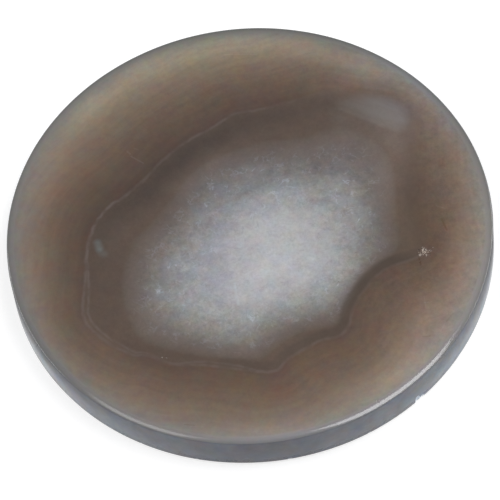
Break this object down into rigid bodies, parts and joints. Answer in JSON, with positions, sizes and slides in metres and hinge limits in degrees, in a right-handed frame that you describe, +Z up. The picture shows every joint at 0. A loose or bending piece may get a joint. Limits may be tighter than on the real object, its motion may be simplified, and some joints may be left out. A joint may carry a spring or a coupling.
{
  "type": "agate slice",
  "caption": "Round polished slice of banded agate with a ground rim and small edge chips; lies flat as a display piece, coaster or small base.",
  "frame": {"origin": "middle of the flat underside, on the surface that the slice lies on", "axes": "+Z up through the slice, out of its upper polished face; +Y away from the picture's viewer; +X to the viewer's right"},
  "size_m": [0.06, 0.06, 0.0052],
  "materials": {
    "agate": "polished, translucent brownish grey chalcedony round a paler granular quartz core"
  },
  "bodies": {
    "root": {"agate_slice": "agate"}
  },
  "joints": []
}
